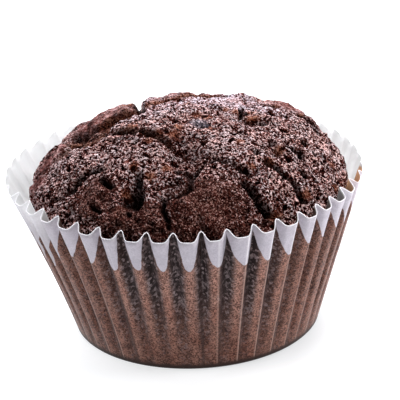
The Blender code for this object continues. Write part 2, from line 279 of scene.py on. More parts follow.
VIEW_HEIGHT = math.radians(24)
VIEW_DISTANCE = 400 * MM
VIEW_TILT = math.radians(-2.93)
AIM_HEIGHT = 18 * MM
AIM_X, AIM_Y = 193.6, 234.4  # the photograph's pixel that the aimed point falls on
PHOTO_SIZE = 400
FOCAL_PIXELS = 1937.6
SENSOR = 36.0


def make_camera():
    """The photograph's camera, as fitted to the paper case."""
    data = bpy.data.cameras.new("camera")
    data.sensor_width = SENSOR
    data.lens = FOCAL_PIXELS / PHOTO_SIZE * SENSOR
    data.clip_start = 0.01
    made = bpy.data.objects.new("camera", data)
    bpy.context.scene.collection.objects.link(made)
    place = Vector((0, -math.cos(VIEW_HEIGHT), math.sin(VIEW_HEIGHT))) * VIEW_DISTANCE
    place.z += AIM_HEIGHT
    ahead = Vector((0, math.cos(VIEW_HEIGHT), -math.sin(VIEW_HEIGHT)))
    level_up = Vector((0, math.sin(VIEW_HEIGHT), math.cos(VIEW_HEIGHT)))
    right = Vector((1, 0, 0)) * math.cos(VIEW_TILT) + level_up * math.sin(VIEW_TILT)
    up = level_up * math.cos(VIEW_TILT) - Vector((1, 0, 0)) * math.sin(VIEW_TILT)
    half = PHOTO_SIZE / 2
    ahead = (ahead - right * (AIM_X - half) / FOCAL_PIXELS + up * (AIM_Y - half) / FOCAL_PIXELS).normalized()
    right = (right - ahead * right.dot(ahead)).normalized()
    up = right.cross(ahead)
    turned = Matrix((right, up, -ahead)).transposed().to_4x4()
    made.matrix_world = Matrix.Translation(place) @ turned
    bpy.context.scene.camera = made


# ---------------------------------------------------------------- pleated wall


def uneven_folds():
    """A small error for each fold: its place round the case and its depth."""
    draw = random.Random(7)

    def error(most):
        return draw.uniform(-most, most)

    return np.array([(error(FOLD_PLACE_ERROR), error(FOLD_DEPTH_ERROR)) for _ in range(PLEATS)])


FOLDS = uneven_folds()


def eased(values, turn):
    """A value for each fold, eased from one fold to the next, at places counted in pleats."""
    lower = np.floor(turn).astype(int)
    share = turn - lower
    ease = share * share * (3 - 2 * share)
    here, after = values[lower % PLEATS], values[(lower + 1) % PLEATS]
    return here + (after - here) * ease


def turn_angle(turn):
    """Angle from the front, for a place counted in pleats."""
    return FIRST_VALLEY + (turn + eased(FOLDS[:, 0], turn)) * math.tau / PLEATS


def from_ridge(turn):
    """0 on a ridge, 1 in a valley fold."""
    return np.abs(turn % 1.0 - 0.5) * 2


def pleat_wave(turn):
    """-1 in a valley fold, +1 on a ridge."""
    from_valley = (1 - from_ridge(turn)) / 2
    return 1 - 2 * np.exp(-((from_valley / VALLEY_WIDTH) ** 2))


def round_axis(radius, angle, height):
    """Points by their distance from the axis, angle from the front and height."""
    return np.stack(np.broadcast_arrays(radius * np.sin(angle), -radius * np.cos(angle), height), axis=-1)


def rim_spread(angle, bulge):
    """How far the rim stands out from a true round."""
    off = (angle - SPREAD_ANGLE + math.pi) % math.tau - math.pi
    pushed = RIM_SHIFT * np.cos(angle - RIM_SHIFT_ANGLE) + RIM_OVAL * np.cos(2 * angle)
    return pushed + bulge * SPREAD * np.exp(-((off / SPREAD_WIDTH) ** 2))


def wall_point(turn, share, inset=0.0, flutes=1.0, bulge=1.0, opened=0.0):
    """Points on the wall's outer face, at a share of the slant, moved in towards the axis."""
    wave = -1 + flutes * (pleat_wave(turn) + 1)
    scallop = RIM_SCALLOP * ((1 - opened) * wave - opened * np.cos(math.tau * turn))
    wave = 1 - (1 - opened) * (1 - wave)
    lean = WALL_LEAN + PLEAT_LEAN * (1 + eased(FOLDS[:, 1], turn)) * wave
    angle = turn_angle(turn)
    slant = SLANT - scallop
    bell = share - WALL_BELL * share * (1 - share)
    radius = BASE_RADIUS + slant * np.sin(lean) * bell + rim_spread(angle, bulge) * share**2
    height = BASE_EDGE + (slant * np.cos(lean) - BASE_EDGE) * share
    return round_axis(radius - inset, angle, height)


# ---------------------------------------------------------------- mesh helpers


def open_edges(builder):
    return [edge for edge in builder.edges if edge.is_boundary]


def add_layers(builder, *names):
    for name in names:
        builder.verts.layers.float.new(name)


def set_layer(verts, layer, values):
    for vert, value in zip(verts, values):
        vert[layer] = value


def read_layer(builder, name):
    layer = builder.verts.layers.float[name]
    return np.array([vert[layer] for vert in builder.verts])


def write_layer(builder, name, values):
    set_layer(builder.verts, builder.verts.layers.float[name], values.tolist())


def write_looks(builder, looks):
    """Attributes that the materials read."""
    add_layers(builder, *looks)
    for name, values in looks.items():
        write_layer(builder, name, values)


def drop_layers(builder, *names):
    for name in names:
        builder.verts.layers.float.remove(builder.verts.layers.float[name])


def next_ring(builder, layer, value):
    """Extrudes the open rim once; the new ring keeps its layers but for one, which is set."""
    made = bmesh.ops.extrude_edge_only(builder, edges=open_edges(builder))["geom"]
    ring = [part for part in made if isinstance(part, bmesh.types.BMVert)]
    set_layer(ring, layer, [value] * len(ring))


def place_verts(builder, points):
    for vert, point in zip(builder.verts, points.tolist()):
        vert.co = point


def field(function, points):
    """A function of a point in millimetres, at each point."""
    return np.array([function(Vector(point)) for point in (points / MM).tolist()])


def add_piece(name, builder, *surfaces):
    mesh = bpy.data.meshes.new(name)
    builder.to_mesh(mesh)
    builder.free()
    mesh.shade_smooth()
    for surface in surfaces:
        mesh.materials.append(surface)
    made = bpy.data.objects.new(name, mesh)
    bpy.context.scene.collection.objects.link(made)
    return made


# ---------------------------------------------------------------- materials

# Crumb's colours, from its dark holes to its flecks, whose palest tones are painted highlights: place in the
# ramp and colour
OPEN_CRUMB_AND_GLINTS = (
    (0.555, (0.008, 0.0008, 0.0005)),
    (0.65, (0.053, 0.009, 0.006)),
    (0.735, (0.150, 0.036, 0.026)),
    (0.805, (0.405, 0.180, 0.162)),
    (0.865, (0.965, 0.740, 0.745)),
)
TORN_CRUMB = (
    (0.48, (0.012, 0.002, 0.001)),
    (0.60, (0.080, 0.015, 0.007)),
    (0.74, (0.215, 0.055, 0.027)),
    (0.88, (0.520, 0.230, 0.150)),
)
FINE_CRUMB = (
    (0.36, (0.012, 0.002, 0.0015)),
    (0.48, (0.055, 0.014, 0.010)),
    (0.58, (0.110, 0.038, 0.029)),
    (0.68, (0.330, 0.190, 0.162)),
)
BAKED_CRUST = (
    (0.38, (0.038, 0.007, 0.006)),
    (0.54, (0.290, 0.104, 0.090)),
    (0.70, (0.840, 0.510, 0.515)),
)
WARM_OR_COOL = ((0.36, (1.0, 0.88, 0.83)), (0.62, (0.92, 0.98, 1.0)))
# Painted bluish sheen on the crown, multiplied in
CROWN_SHEEN_TINT = (1.04, 1.13, 1.25)
# Painted shade inside cracks and hollows
PAINTED_CRACK_SHADE = (0.008, 0.002, 0.0015)
# Painted bluish sheen of a moist spot, dark and pale
PAINTED_MOIST_SHEEN = ((0.030, 0.032, 0.042), (0.380, 0.400, 0.500))

# Crumb's sizes in millimetres
GRAINS, FINE_GRAINS, SMALL_GRAINS, GRIT = 0.60, 0.35, 0.30, 0.26
GRAIN_WANDER = 0.9
CRUST_SPOTS, TINT_SPOTS, TORN_SPOTS = 1.6, 2.6, 3.2
CRUMB_RELIEF = 1.6
CROWN_HEIGHT, CROWN_BACK = (40.0, 43.0), (-3.0, 9.0)  # the crown is painted paler and bluer between these, up and to the back, as a painted sheen from the backlight
CROWN_SHEEN_LIFT = 0.07  # of the ramp's length

PORE_SHADE = 0.4  # of the ramp's length: how much darker a pore is painted, as painted shade
FINE_CALM, FINE_FLAT = 0.6, 0.5  # share of the open crumb's tones and of its relief that fine crumb lacks
GRIT_SHARE = 0.5  # of the fine grain's tone

# How far each part of the skin covers the open crumb; sunken is the painted shade in cracks and hollows, and
# cool the painted bluish sheen of a moist spot
COVER = {"crust": 0.95, "broken": 0.95, "fine": 0.8, "sunken": 0.90, "cool": 0.6}

# Paper's colours: dark and light, or one
CLEAN_PAPER = ((0.49, 0.46, 0.52), (0.72, 0.68, 0.75))
CLEAN_SPECKS = (0.38, 0.35, 0.40)
VALLEY_GREASE_AND_SHADE = ((0.022, 0.014, 0.014), (0.290, 0.225, 0.230))
RIDGE_GREASE_AND_LIGHT = ((0.092, 0.037, 0.027), (0.465, 0.253, 0.198))
GREASY_FOOT = ((0.038, 0.014, 0.010), (0.270, 0.120, 0.084))
WARM_CLOUDS = (0.260, 0.110, 0.065)
CREASE_PAINTED_SHADOW = (0.030, 0.015, 0.013)
GREASY_CREASE_HIGHLIGHT, CLEAN_CREASE_HIGHLIGHT = (0.56, 0.37, 0.31), (0.90, 0.88, 0.91)
FOOT_EDGE = (0.030, 0.015, 0.012)
RIM_HIGHLIGHT = (0.86, 0.85, 0.89)
CUT_EDGE = (0.84, 0.83, 0.87, 1.0)
LIGHT_THROUGH = (0.92, 0.94, 0.92, 1.0)
INSIDE_RIM_PAINTED_SHADE = (0.78, 0.795, 0.79)
INSIDE_DEEP_PAINTED_LIGHT = ((0.96, 0.97, 0.965), (0.99, 0.99, 0.985))
INSIDE_STAIN = ((0.62, 0.29, 0.11), (0.90, 0.62, 0.42))
INSIDE_FILLED = (0.110, 0.058, 0.046)

# Paper's sizes in millimetres
FIBRE, INSIDE_FIBRE = 0.30, 0.40
PAPER_GRIT, PAPER_CRUMBS = 0.23, 0.52
PAPER_SPOTS, INSIDE_SPOTS, CLOUDS = 1.6, 2.4, 4.5
FIBRE_RELIEF, INSIDE_RELIEF = 0.06, 0.04
STAIN_FROM, STAIN_TO = 11.0, 12.0  # below the rim: where the brown inside starts and is full
STAIN_UNEVEN, STAIN_RISE = 5.0, 14.0  # how far it wanders, and how far the grease lifts it

# Half width of a clean patch at the rim and at its lower end, as shares of half a pleat
UPRIGHT_PATCH, SLANTED_PATCH = (0.74, 0.27), (0.98, 0.10)

# How strongly each mark on the paper covers what lies under it; the dark strip is painted shadow and the
# creases are painted highlights
MARKS = {"calm folds": 0.75, "clouds": 0.35, "dark strip": 0.55, "greasy crease": 0.5, "clean crease": 0.7}


class Surface:
    """A material under construction: short ways to add its nodes and links."""

    def __init__(self, name):
        self.material = bpy.data.materials.new(name)
        self.material.use_nodes = True
        self.tree = self.material.node_tree
        self.shader = self.tree.nodes["Principled BSDF"]

    def node(self, kind, inputs=None, **settings):
        made = self.tree.nodes.new("ShaderNode" + kind)
        for setting, value in settings.items():
            setattr(made, setting, value)
        for name, value in (inputs or {}).items():
            self.feed(made.inputs[name], value)
        return made

    def feed(self, socket, value):
        if isinstance(value, bpy.types.NodeSocket):
            self.tree.links.new(value, socket)
        else:
            socket.default_value = value

    def math(self, operation, first, second):
        return self.node("Math", {0: first, 1: second}, operation=operation).outputs[0]

    def times(self, first, second):
        return self.math("MULTIPLY", first, second)

    def plus(self, first, second):
        return self.math("ADD", first, second)

    def minus(self, first, second):
        return self.math("SUBTRACT", first, second)

    def attribute(self, name):
        return self.node("Attribute", attribute_name=name).outputs["Fac"]

    def millimetres(self):
        place = self.node("TexCoord").outputs["Object"]
        return self.node("Mapping", {"Vector": place, "Scale": [1 / MM] * 3}).outputs["Vector"]

    def noise(self, vector, size, detail=2.0, roughness=0.5):
        inputs = {"Vector": vector, "Scale": 1 / size, "Detail": detail, "Roughness": roughness}
        return self.node("TexNoise", inputs).outputs["Fac"]

    def cells(self, vector, size, output="Distance"):
        return self.node("TexVoronoi", {"Vector": vector, "Scale": 1 / size}).outputs[output]

    def specks(self, vector, size):
        """A tone of its own for each small cell."""
        return self.cells(vector, size, "Color")

    def step(self, value, low, high, to_low=0.0, to_high=1.0, smooth=True):
        made = self.node("MapRange", {"Value": value, "From Min": low, "From Max": high})
        made.inputs["To Min"].default_value = to_low
        made.inputs["To Max"].default_value = to_high
        if smooth:
            made.interpolation_type = "SMOOTHSTEP"
        return made.outputs["Result"]

    def ramp(self, value, *stops):
        made = self.node("ValToRGB", {"Fac": value})
        stops_made = made.color_ramp.elements
        while len(stops_made) < len(stops):
            stops_made.new(0.5)
        for element, (place, colour) in zip(stops_made, stops):
            element.position = place
            element.color = (*colour, 1.0)
        return made.outputs["Color"]

    def blend(self, factor, first, second, how="MIX"):
        made = self.node("Mix", data_type="RGBA", blend_type=how)
        for name, kind, value in (("Factor", "VALUE", factor), ("A", "RGBA", first), ("B", "RGBA", second)):
            socket = next(s for s in made.inputs if s.name == name and s.type == kind)
            self.feed(socket, (*value, 1.0) if isinstance(value, tuple) else value)
        return next(s for s in made.outputs if s.type == "RGBA")

    def bump(self, height, relief, strength=1.0):
        """Relief in millimetres."""
        inputs = {"Height": height, "Distance": relief * MM, "Strength": strength}
        return self.node("Bump", inputs).outputs["Normal"]

    def let_light_through(self, colour, share):
        """Mixes the shader with a thin translucent sheet."""
        sheet = self.node("BsdfTranslucent", {"Color": colour}).outputs["BSDF"]
        mixed = self.node("MixShader", {0: share, 1: self.shader.outputs["BSDF"], 2: sheet}).outputs["Shader"]
        self.tree.links.new(mixed, self.tree.nodes["Material Output"].inputs["Surface"])

    def finish(self, **inputs):
        for name, value in inputs.items():
            self.feed(self.shader.inputs[name.replace("_", " ").title().replace("Ior", "IOR")], value)
        return self.material


def crumb_surface():
    skin = Surface("baked chocolate crumb")
    place = skin.millimetres()
    covered = {name: skin.times(skin.attribute(name), share) for name, share in COVER.items()}
    calm = skin.attribute("fine")

    # Grains pushed out of line by a coarser noise, with grit on them
    wander = skin.node("TexNoise", {"Vector": place, "Scale": 1 / GRAIN_WANDER, "Detail": 2.0})
    shifted = skin.node("VectorMath", {0: place, 1: wander.outputs["Color"]}, operation="ADD").outputs[0]
    grains = skin.cells(shifted, GRAINS)
    fine = skin.noise(place, FINE_GRAINS, detail=0.0)
    grit = skin.specks(shifted, GRIT)
    grain = skin.times(skin.plus(fine, grit), GRIT_SHARE)

    # Open crumb: darker in the pores as painted shade, calmer where it is fine, and paler on the crown as a
    # painted sheen
    open_crumb = skin.minus(skin.times(grains, 0.5), skin.times(skin.attribute("pore"), PORE_SHADE))
    open_crumb = skin.times(open_crumb, skin.minus(1.0, skin.times(calm, FINE_CALM)))
    apart = skin.node("SeparateXYZ", {0: place}).outputs
    crown = skin.times(skin.step(apart["Z"], *CROWN_HEIGHT), skin.step(apart["Y"], *CROWN_BACK))
    tone = skin.ramp(skin.plus(skin.plus(open_crumb, grain), skin.times(crown, CROWN_SHEEN_LIFT)), *OPEN_CRUMB_AND_GLINTS)
    tone = skin.blend(1.0, tone, skin.ramp(skin.noise(place, TINT_SPOTS), *WARM_OR_COOL), how="MULTIPLY")
    tone = skin.blend(crown, tone, CROWN_SHEEN_TINT, how="MULTIPLY")

    # Over it the baked crust, the torn crumb and the fine crumb
    baked = skin.ramp(skin.noise(place, CRUST_SPOTS, detail=3.0, roughness=0.55), *BAKED_CRUST)
    tone = skin.blend(covered["crust"], tone, baked)
    uneven = skin.times(skin.plus(grain, skin.noise(place, TORN_SPOTS, detail=3.0)), 0.5)
    tone = skin.blend(covered["broken"], tone, skin.ramp(skin.plus(open_crumb, uneven), *TORN_CRUMB))
    small = skin.times(skin.plus(skin.noise(place, SMALL_GRAINS, detail=0.0), grit), GRIT_SHARE)
    tone = skin.blend(covered["fine"], tone, skin.ramp(small, *FINE_CRUMB))

    # Last the painted shade inside cracks and hollows, and the painted sheen of the moist spot
    tone = skin.blend(covered["sunken"], tone, PAINTED_CRACK_SHADE)
    tone = skin.blend(covered["cool"], tone, skin.blend(skin.step(grain, 0.35, 0.68), *PAINTED_MOIST_SHEEN))

    lumpy = skin.plus(skin.times(grains, 0.8), skin.times(fine, 0.8))
    bump = skin.bump(lumpy, CRUMB_RELIEF, skin.minus(1.0, skin.times(calm, FINE_FLAT)))
    return skin.finish(base_color=tone, roughness=0.3, normal=bump, specular_ior_level=0.005)


def clean_patch(sheet, patchy, slant, touching):
    """1 on the clean white paper below the rim of each pleat, 0 on the greasy paper."""
    patch = sheet.attribute("from_patch")
    along = sheet.math("DIVIDE", sheet.attribute("below_rim"), sheet.attribute("bare_length"))
    wider = sheet.step(touching, 0.0, 1.0, 0.45, 0.0, smooth=False)
    upright = sheet.step(along, 0.0, 1.0, *UPRIGHT_PATCH, smooth=False)
    slanted = sheet.step(sheet.math("POWER", along, 1.4), 0.0, 1.0, *SLANTED_PATCH, smooth=False)
    taper = sheet.plus(upright, sheet.times(sheet.minus(slanted, upright), slant))
    edge = sheet.plus(sheet.minus(sheet.plus(taper, wider), patch), sheet.times(patchy, 0.12))
    end = sheet.minus(1.05, sheet.plus(along, sheet.times(patchy, 0.16)))
    round_end = sheet.minus(end, sheet.times(sheet.math("POWER", patch, 2.0), 1.2))
    round_end = sheet.plus(round_end, sheet.times(wider, 1.6))
    return sheet.times(sheet.step(edge, 0.04, 0.08), sheet.step(round_end, -0.01, 0.02))


def outer_paper():
    sheet = Surface("case paper, outside")
    place = sheet.millimetres()
    touching = sheet.attribute("touching")
    slant = sheet.attribute("slant")
    fibre = sheet.noise(place, FIBRE, detail=3.0, roughness=0.75)
    patchy = sheet.noise(place, PAPER_SPOTS)
    speckled = sheet.plus(sheet.times(sheet.specks(place, PAPER_GRIT), 0.5), sheet.times(fibre, 0.5))
    contrast = sheet.step(sheet.plus(speckled, sheet.times(patchy, 0.35)), 0.48, 0.88)
    # Painted highlight along each crease, shown where the folds slant
    crease = sheet.times(slant, sheet.step(sheet.attribute("from_patch"), CREASE_WIDTH, 0.02))

    # Greasy paper: crumbs show through in the valleys, which are also painted darker as shade in the folds,
    # and the ridges are browner and painted lighter where they catch the light
    crumbly = sheet.plus(sheet.times(sheet.specks(place, PAPER_CRUMBS), 0.5), sheet.times(fibre, 0.5))
    valley = sheet.blend(sheet.step(crumbly, 0.46, 0.76), *VALLEY_GREASE_AND_SHADE)
    ridge = sheet.blend(contrast, *RIDGE_GREASE_AND_LIGHT)
    ridge_edge = sheet.plus(sheet.attribute("from_ridge"), sheet.times(patchy, 0.3))
    greasy = sheet.blend(sheet.step(ridge_edge, 0.86, 0.20), valley, ridge)

    # Near the foot and at the sides the folds differ less, with less of their painted light and shade
    up_wall = sheet.attribute("up_wall")
    calmer = sheet.math("MAXIMUM", sheet.step(up_wall, 0.66, 0.06), sheet.attribute("side_on"))
    foot = sheet.blend(contrast, *GREASY_FOOT)
    greasy = sheet.blend(sheet.times(calmer, MARKS["calm folds"]), greasy, foot)
    clouds = sheet.times(sheet.step(sheet.noise(place, CLOUDS), 0.45, 0.7), MARKS["clouds"])
    greasy = sheet.blend(clouds, greasy, WARM_CLOUDS, how="SOFT_LIGHT")

    # A crease's painted highlight, the painted shadow in a strip behind it and the dark edge of the foot
    behind = sheet.attribute("behind_crease")
    strip = sheet.times(sheet.step(behind, 0.03, 0.09), sheet.step(behind, 0.55, 0.10))
    greasy = sheet.blend(sheet.times(strip, MARKS["dark strip"]), greasy, CREASE_PAINTED_SHADOW)
    greasy = sheet.blend(sheet.times(crease, MARKS["greasy crease"]), greasy, GREASY_CREASE_HIGHLIGHT)
    greasy = sheet.blend(sheet.step(up_wall, 0.035, 0.0), greasy, FOOT_EDGE)

    # Clean paper, with the same painted crease highlight, and a painted highlight along the rim
    clean = sheet.blend(patchy, *CLEAN_PAPER)
    clean = sheet.blend(sheet.step(speckled, 0.62, 0.35, 0.0, 0.40), clean, CLEAN_SPECKS)
    clean = sheet.blend(sheet.times(crease, MARKS["clean crease"]), clean, CLEAN_CREASE_HIGHLIGHT)
    bare = clean_patch(sheet, patchy, slant, touching)
    # Painted highlight in a narrow band at the rim
    rim = sheet.step(sheet.attribute("below_rim"), 0.14, 0.07)
    colour = sheet.blend(rim, sheet.blend(bare, greasy, clean), RIM_HIGHLIGHT)

    thin = sheet.step(touching, 0.0, 1.0, 0.42, 0.15, smooth=False)
    through = sheet.times(thin, sheet.step(bare, 0.0, 1.0, 0.1, 1.0, smooth=False))
    sheet.let_light_through(LIGHT_THROUGH, sheet.math("MAXIMUM", through, sheet.times(rim, 0.5)))
    rough = sheet.step(bare, 0.0, 1.0, 0.42, 0.75, smooth=False)
    bump = sheet.bump(fibre, FIBRE_RELIEF)
    return sheet.finish(base_color=colour, roughness=rough, normal=bump, specular_ior_level=0.1)


def inner_paper():
    sheet = Surface("case paper, inside")
    place = sheet.millimetres()
    below = sheet.attribute("below_rim")
    grease = sheet.attribute("grease")
    fibre = sheet.noise(place, INSIDE_FIBRE, detail=3.0)
    patchy = sheet.noise(place, INSIDE_SPOTS, detail=3.0)
    # Painted darker near the rim, where more light falls, and paler deep inside, where less does
    white = sheet.blend(sheet.step(below, 0.0, 6.0), INSIDE_RIM_PAINTED_SHADE, sheet.blend(fibre, *INSIDE_DEEP_PAINTED_LIGHT))

    # The stain starts deep inside, and reaches the rim where the grease is
    reach = sheet.plus(below, sheet.times(sheet.minus(patchy, 0.5), STAIN_UNEVEN))
    stain = sheet.step(sheet.plus(reach, sheet.times(grease, STAIN_RISE)), STAIN_FROM, STAIN_TO)
    soaked = sheet.blend(stain, white, sheet.blend(patchy, *INSIDE_STAIN))

    # Dark where the cake lies against it
    filled = sheet.times(sheet.attribute("touching"), sheet.minus(1.0, grease))
    filled = sheet.times(filled, sheet.step(below, 0.15, 0.5))
    colour = sheet.blend(filled, soaked, INSIDE_FILLED)
    sheet.let_light_through(colour, sheet.step(stain, 0.0, 1.0, 0.70, 0.4, smooth=False))
    return sheet.finish(base_color=colour, roughness=0.7, normal=sheet.bump(fibre, INSIDE_RELIEF))


def cut_edge():
    return Surface("case paper, cut edge").finish(base_color=CUT_EDGE, roughness=0.8)


def floor_surface():
    """A pale glowing floor, with a weaker glow in the soft shade on the right."""
    floor = Surface("pale floor")
    off = floor.node("VectorMath", {0: floor.millimetres(), 1: SHADE_CENTRE}, operation="DISTANCE")
    shade = floor.step(off.outputs["Value"], SHADE_TO, SHADE_FROM)
    glow = floor.blend(shade, FLOOR_GLOW, SHADE_GLOW)
    return floor.finish(base_color=FLOOR_COLOUR, roughness=0.9, emission_color=glow, emission_strength=0.74)


# ---------------------------------------------------------------- paper case


def bare_lengths():
    """Millimetres of clean paper below the rim, for each pleat."""
    draw = random.Random(11)
    turns = np.arange(PLEATS) + 0.5
    off = (turn_angle(turns) - BARE_LONGER_ANGLE + math.pi) % math.tau - math.pi
    longer = BARE_LONGER * np.exp(-((off / BARE_LONGER_WIDTH) ** 2))
    return BARE_LENGTH + longer + np.array([draw.uniform(-BARE_ERROR, BARE_ERROR) for _ in range(PLEATS)])


def touching_cake(turn):
    """1 where the cake fills the case up to its rim, 0 where the rim stands free."""
    azimuth = (turn_angle(turn) + math.pi) % math.tau - math.pi
    after = np.clip((azimuth - TOUCHING_FROM) / TOUCHING_FADE, 0, 1)
    return after * np.clip((TOUCHING_TO - azimuth) / TOUCHING_FADE, 0, 1)


def case_point(turn, up):
    """Points of the outer face. Up is -1 at the flat base's edge, 0 at the wall's foot and 1 at the rim."""
    up_wall = np.clip(up, 0, 1)
    azimuth = (turn_angle(turn) + math.pi) % math.tau - math.pi
    free = np.clip((OPEN_FROM - azimuth) / OPEN_FADE, 0, 1) + np.clip((azimuth - OPEN_TO) / OPEN_FADE, 0, 1)
    opened = OPENED * free * up_wall**1.5
    wall = wall_point(turn, up_wall, inset=INSIDE_SOLID, opened=opened)
    flat = BASE_RADIUS - BASE_EDGE
    quarter = np.clip(up + 1, 0, 1) * math.pi / 2
    reach = BASE_RADIUS - INSIDE_SOLID - flat
    foot = round_axis(flat + reach * np.sin(quarter), turn_angle(turn), BASE_EDGE * (1 - np.cos(quarter)))
    return np.where((up > 0)[:, None], wall, foot)


def patch_place(turn):
    """How far points are from the middle of their pleat's clean patch, its slant and the way behind it.

    At the front the patch sits on the ridge. Towards the sides it moves to the ridge's far edge, where
    the crease is, and widens over the flank that faces the front.
    """
    sine = np.sin(turn_angle(turn) - PATCH_FRONT)
    slant = np.clip((np.abs(sine) - SLANT_FROM) / SLANT_FADE, 0, 1)
    off = turn - np.floor(turn) - 0.5 + PATCH_ASIDE * slant * np.where(sine < 0, 1, -1)
    facing = off * np.where(sine < 0, 1, -1) > 0
    behind = np.where(facing, 0, 2 * np.abs(off)) * slant
    return 2 * np.abs(off) / np.where(facing, 1 + PATCH_WIDER * slant, 1), slant, behind


def crumpled(points, up):
    """Dents the wall in, least at its foot."""
    dents = np.zeros(len(points))
    for size, height in CRUMPLE:
        dents += height * field(lambda p: noise.noise(p / size + CRUMPLE_PLACE), points)
    inward = -points * (1, 1, 0)
    inward /= np.linalg.norm(inward, axis=1)[:, None]
    most = sum(height for _, height in CRUMPLE)
    return points + inward * ((dents + most) * np.clip(up, 0, 1) * MM)[:, None]


def make_case():
    """A flat disc whose edge is extruded up, first as the rounded foot and then as the wall."""
    builder = bmesh.new()
    columns = PLEATS * COLUMNS_PER_PLEAT
    bmesh.ops.create_circle(builder, cap_ends=True, cap_tris=True, radius=1.0, segments=columns)
    add_layers(builder, "turn", "up")
    turn_layer = builder.verts.layers.float["turn"]
    up_layer = builder.verts.layers.float["up"]
    ring = sorted((v for v in builder.verts if v.is_boundary), key=lambda v: math.atan2(v.co.y, v.co.x))
    set_layer(ring, turn_layer, [index / COLUMNS_PER_PLEAT for index in range(columns)])
    set_layer(ring, up_layer, [-1.0] * columns)
    for row in range(1, FOOT_ROWS + 1):
        next_ring(builder, up_layer, row / FOOT_ROWS - 1)
    for row in range(1, WALL_ROWS + 1):
        next_ring(builder, up_layer, row / WALL_ROWS)
    turn, up = read_layer(builder, "turn"), read_layer(builder, "up")
    centre = np.array([v.co.length < 0.5 for v in builder.verts])
    points = crumpled(case_point(turn, up), up)
    points[centre] = 0.0
    place_verts(builder, points)
    up_wall = np.clip(up, 0, 1)
    from_patch, slant, behind = patch_place(turn)
    looks = {
        "from_ridge": from_ridge(turn),
        "below_rim": (1 - up_wall) * SLANT / MM,
        "bare_length": bare_lengths()[np.floor(turn).astype(int) % PLEATS],
        "up_wall": up_wall,
        "grease": np.exp(-(((turn_angle(turn) - GREASE_ANGLE) / GREASE_WIDTH) ** 2)),
        "touching": touching_cake(turn),
        "side_on": np.clip((np.abs(np.sin(turn_angle(turn))) - SIDE_ON_FROM) / SIDE_ON_FADE, 0, 1),
        "from_patch": from_patch,
        "slant": slant,
        "behind_crease": behind,
    }
    write_looks(builder, looks)
    drop_layers(builder, "turn", "up")
    bmesh.ops.recalc_face_normals(builder, faces=builder.faces)
    case = add_piece("pleated_case", builder, outer_paper(), inner_paper(), cut_edge())
    wall = case.modifiers.new("paper thickness", "SOLIDIFY")
    wall.thickness = PAPER
    wall.offset = -1
    wall.material_offset = 1
    wall.material_offset_rim = 2
    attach(case, "root")
    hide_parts("paper_case")


# ---------------------------------------------------------------- cracked dome


def on_dome(x, y):
    """The smooth dome's point over x and y."""
    inside = max(0.0, 1 - (x * x + y * y) / DOME_RADIUS**2)
    return np.array((x, y, DOME_FOOT + DOME_RISE * math.sqrt(inside)))


def dome_normal(points):
    scaled = (points - (0, 0, DOME_FOOT)) / (DOME_RADIUS**2, DOME_RADIUS**2, DOME_RISE**2)
    return scaled / np.linalg.norm(scaled, axis=1)[:, None]


def nearest_on_route(points, route):
    """Distance to a route in millimetres, its side (+1 is the left) and the way to the left."""
    corners = [on_dome(x * MM, y * MM) for x, y in route]
    best = np.full(len(points), np.inf)
    side = np.ones(len(points))
    left = np.zeros((len(points), 3))
    for start, end in zip(corners, corners[1:]):
        along = end - start
        off = points - start
        share = np.clip(off @ along / (along @ along), 0, 1)
        distance = np.linalg.norm(off - share[:, None] * along, axis=1) / MM
        nearer = distance < best
        best = np.where(nearer, distance, best)
        cross = along[0] * off[:, 1] - along[1] * off[:, 0]
        side = np.where(nearer, np.where(cross < 0, -1.0, 1.0), side)
        to_left = np.array((-along[1], along[0], 0)) / math.hypot(along[0], along[1])
        left[nearer] = to_left
    return best, side, left


def ragged(points):
    """Where a point reads the breaks from: a little aside, so that they wander."""
    moved = points.copy()
    for size, shift in RAGGED:
        moved += shift * MM * field(lambda p: noise.noise_vector(p / size), points)
    return moved


def crumb_height(point):
    """Millimetres of relief in the crumb: open pores, and fine ridges between them."""
    wander, shift = PORE_WANDER
    bent = point + shift * noise.noise_vector(point / wander)
    height = 0.0
    for index, (spacing, widest, depth) in enumerate(PORES):
        distances, centres = noise.voronoi(bent / spacing + Vector((7, 3, 1)) * index)
        drawn = abs(noise.cell(centres[0] * 9.0 + Vector((0.5, 0.5, 0.5))))
        radius = widest * (PORE_LEAST + (1 - PORE_LEAST) * drawn)
        hole = max(0.0, 1 - distances[0] / radius)
        height -= depth * radius / widest * hole * (2 - hole)
    for size, tall in TOOTH:
        height += tall * (0.5 - 2 * abs(noise.noise(point / size)))
    return height - CRUMB_DOWN


def round_spot(points, x, y, half_width, half_length):
    """How far points are from a spot on the dome, counted in the spot's own size."""
    off = (points - on_dome(x * MM, y * MM)) / MM
    return np.hypot(off[:, 0] / half_width, np.hypot(off[:, 1], off[:, 2]) / half_length)


